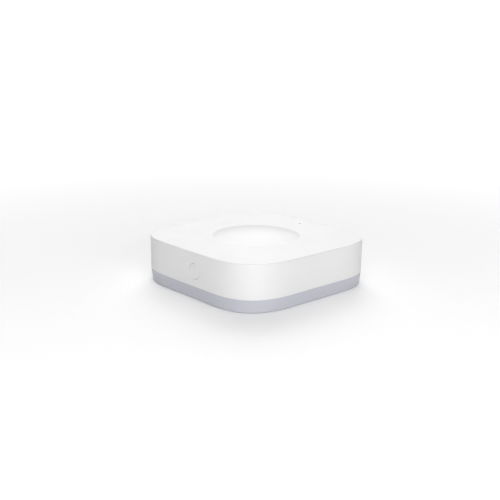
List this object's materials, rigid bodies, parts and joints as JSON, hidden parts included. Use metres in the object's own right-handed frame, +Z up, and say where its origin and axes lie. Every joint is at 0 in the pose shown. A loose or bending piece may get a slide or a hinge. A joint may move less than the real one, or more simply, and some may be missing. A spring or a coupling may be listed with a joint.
{
  "type": "smart home hub",
  "caption": "Low square hub with soft corners, a shallow round dome on top, a grey base, a push button in front, and a network socket and power inlet at the back.",
  "frame": {"origin": "under the middle of the case, on the plane of the rubber feet", "axes": "+Z up, -Y out of the front with the push button, +Y out of the back with the sockets, +X to the right seen from the front"},
  "size_m": [0.095, 0.095, 0.0276],
  "materials": {
    "white_cover": "satin white moulded plastic",
    "grey_base": "satin cool grey moulded plastic",
    "foot_rubber": "matt soft rubber",
    "screw_steel": "zinc plated steel",
    "label_film": "blank printed film",
    "button_white": "satin white moulded plastic",
    "switch_black": "black nylon",
    "tin_plate": "tinned sheet steel",
    "board_green": "glass fibre board with green solder mask",
    "chip_black": "moulded epoxy package",
    "pad_blue": "soft silicone pad",
    "ceramic_tan": "ceramic capacitors",
    "aerial_film": "flexible printed film",
    "coax_black": "thin coaxial lead",
    "gold_plate": "gold plated",
    "nickel_shell": "nickel plated sheet",
    "socket_black": "black moulded plastic",
    "ferrite_grey": "moulded ferrite",
    "can_aluminium": "aluminium cans",
    "light_clear": "clear moulded plastic"
  },
  "bodies": {
    "case": {"top_cover": "white_cover", "base_tray": "grey_base", "rubber_feet": "foot_rubber", "case_screws": "screw_steel", "rating_label": "label_film", "switch_body": "switch_black", "switch_bracket": "tin_plate", "main_board": "board_green", "board_screws": "screw_steel", "processor": "chip_black", "memory_chip": "chip_black", "flash_memory": "chip_black", "thermal_pad": "pad_blue", "shield_frame": "tin_plate", "shield_lid": "tin_plate", "crystal": "tin_plate", "small_passives": "ceramic_tan", "radio_board": "board_green", "radio_can": "tin_plate", "antenna_left": "aerial_film", "antenna_right": "aerial_film", "antenna_cable_left": "coax_black", "antenna_cable_right": "coax_black", "coax_plugs": "gold_plate", "ethernet_shell": "nickel_shell", "ethernet_insert": "socket_black", "ethernet_contacts": "gold_plate", "ethernet_transformer": "chip_black", "usb_shell": "nickel_shell", "usb_tongue": "socket_black", "voltage_regulator": "chip_black", "power_inductor": "ferrite_grey", "filter_capacitors": "can_aluminium", "status_led": "light_clear", "light_pipe": "light_clear"},
    "button": {"button_cap": "button_white", "switch_plunger": "switch_black"}
  },
  "joints": [
    {"name": "button_press", "type": "slide", "parent": "case", "child": "button", "axis": [0, 1, 0], "range_m": [0, 0.0003], "stiffness_N_per_m": 2000, "springref_m": -0.0003}
  ]
}
